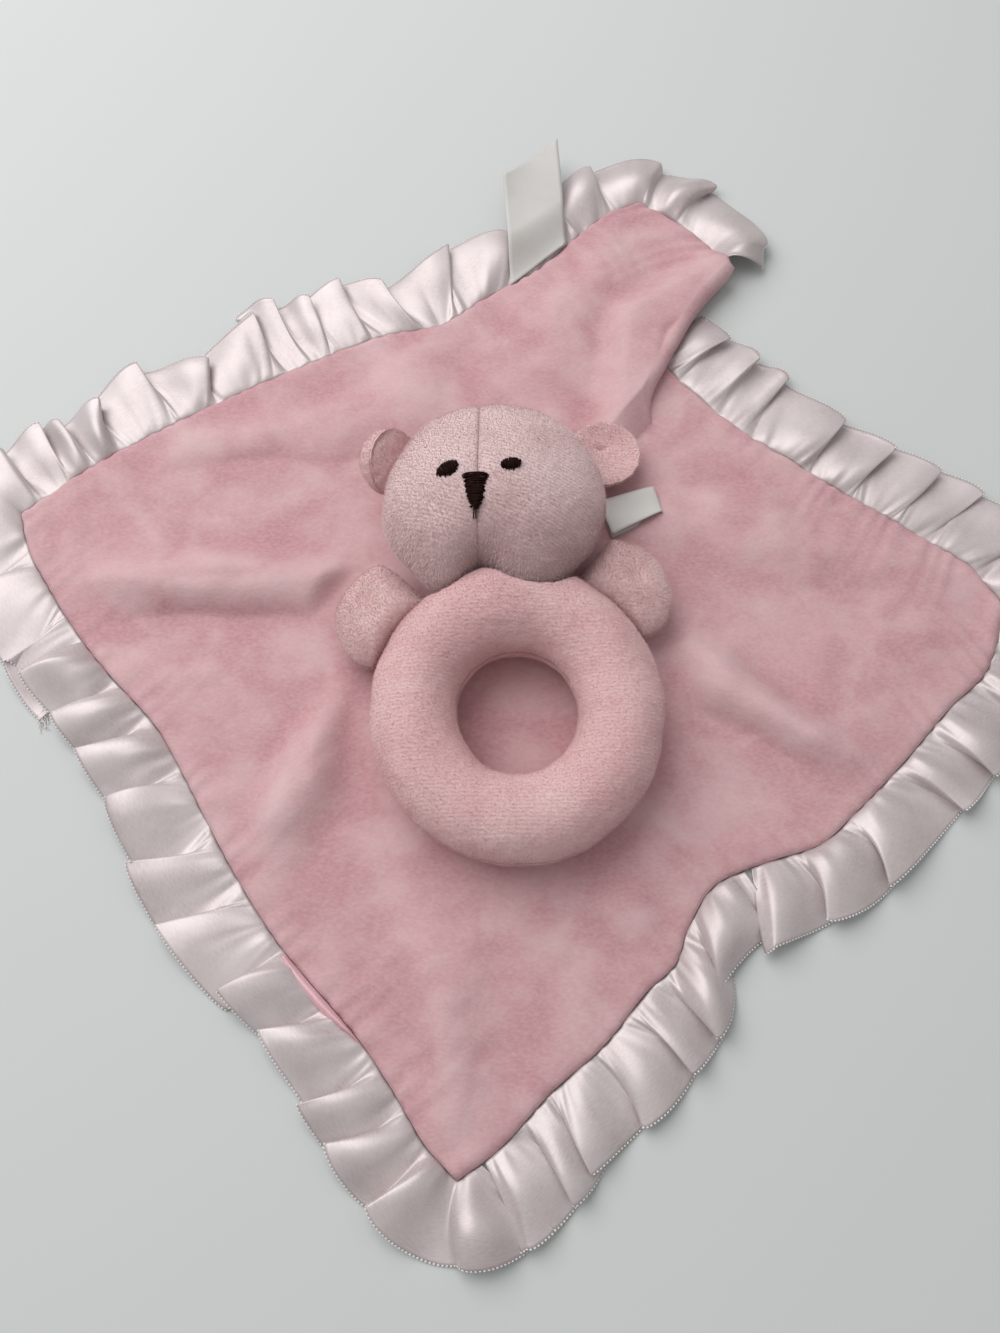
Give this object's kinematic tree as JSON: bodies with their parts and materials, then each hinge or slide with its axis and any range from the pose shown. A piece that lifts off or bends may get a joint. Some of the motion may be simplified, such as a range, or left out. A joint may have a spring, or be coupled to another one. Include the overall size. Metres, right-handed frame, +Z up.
{
  "type": "baby comfort blanket",
  "caption": "Square plush comfort blanket with a satin back, gathered ribbon edge and a soft bear with a ring body tacked at its middle.",
  "frame": {"origin": "centre of the object's box, at the height of the surface it lies on", "axes": "+Z up from the surface out of the bear's face, +Y from the ring to the head, +X to the right as the bear is looked at"},
  "size_m": [0.4132, 0.4256, 0.0512],
  "materials": {
    "plush": "short velour pile",
    "satin": "smooth satin",
    "ribbon": "glossy satin ribbon",
    "label": "woven tape",
    "pink_thread": "sewing thread",
    "velour": "short velour pile",
    "ring_velour": "short velour pile",
    "fill": "loose polyester fibre",
    "capsule": "moulded",
    "bead": "moulded",
    "dark_thread": "satin-stitched thread"
  },
  "bodies": {
    "blanket": {"blanket_front_panel": "plush", "blanket_back_panel": "satin", "ruffle_top_left": "ribbon", "ruffle_top_right": "ribbon", "ruffle_bottom_right": "ribbon", "ruffle_bottom_left": "ribbon", "neck_tack_thread": "pink_thread"},
    "head": {"head_left_panel": "velour", "head_right_panel": "velour", "head_back_panel": "velour", "head_fill_front": "fill", "head_fill_back": "fill", "rattle_capsule_front": "capsule", "rattle_capsule_back": "capsule", "rattle_bead_1": "bead", "rattle_bead_2": "bead", "rattle_bead_3": "bead", "rattle_bead_4": "bead", "rattle_bead_5": "bead", "eye_left": "dark_thread", "eye_right": "dark_thread", "nose": "dark_thread"},
    "ring": {"ring_front_cover": "ring_velour", "ring_back_cover": "ring_velour", "ring_fill": "fill"},
    "arm_left": {"arm_left_front": "ring_velour", "arm_left_back": "ring_velour", "arm_left_fill": "fill"},
    "arm_right": {"arm_right_front": "ring_velour", "arm_right_back": "ring_velour", "arm_right_fill": "fill"},
    "ear_left": {"ear_left_front": "velour", "ear_left_back": "velour"},
    "ear_right": {"ear_right_front": "velour", "ear_right_back": "velour"},
    "head_label_tab": {"head_label": "label"},
    "care_label_tab": {"care_label": "label"}
  },
  "joints": [
    {"name": "head_tilt", "type": "hinge", "parent": "blanket", "child": "head", "pos_m": [0.00207, -0.00491, 0.034], "axis": [1, 0, 0], "range_deg": [0, 25]},
    {"name": "ring_lift", "type": "hinge", "parent": "blanket", "child": "ring", "pos_m": [0.00207, -0.00491, 0.034], "axis": [-1, 0, 0], "range_deg": [0, 40]},
    {"name": "arm_left_flap", "type": "hinge", "parent": "blanket", "child": "arm_left", "pos_m": [-0.03124, -0.0072, 0.0218], "axis": [-0.0292, 0.9996, 0], "range_deg": [0, 30]},
    {"name": "arm_right_flap", "type": "hinge", "parent": "blanket", "child": "arm_right", "pos_m": [0.02743, 0.00136, 0.0218], "axis": [0.0962, -0.9954, 0], "range_deg": [0, 30]},
    {"name": "ear_left_fold", "type": "hinge", "parent": "head", "child": "ear_left", "pos_m": [-0.03934, 0.04518, 0.022], "axis": [0.3566, 0.9343, 0], "range_deg": [0, 30]},
    {"name": "ear_right_fold", "type": "hinge", "parent": "head", "child": "ear_right", "pos_m": [0.02766, 0.05221, 0.011], "axis": [0.549, -0.8358, 0], "range_deg": [0, 50]},
    {"name": "head_label_flip", "type": "hinge", "parent": "head", "child": "head_label_tab", "pos_m": [0.03508, 0.03352, 0.0063], "axis": [0.2921, -0.9564, 0], "range_deg": [0, 60]},
    {"name": "care_label_flip", "type": "hinge", "parent": "blanket", "child": "care_label_tab", "pos_m": [0.01317, 0.15189, 0.003], "axis": [0.7752, 0.6317, 0], "range_deg": [0, 90]}
  ]
}
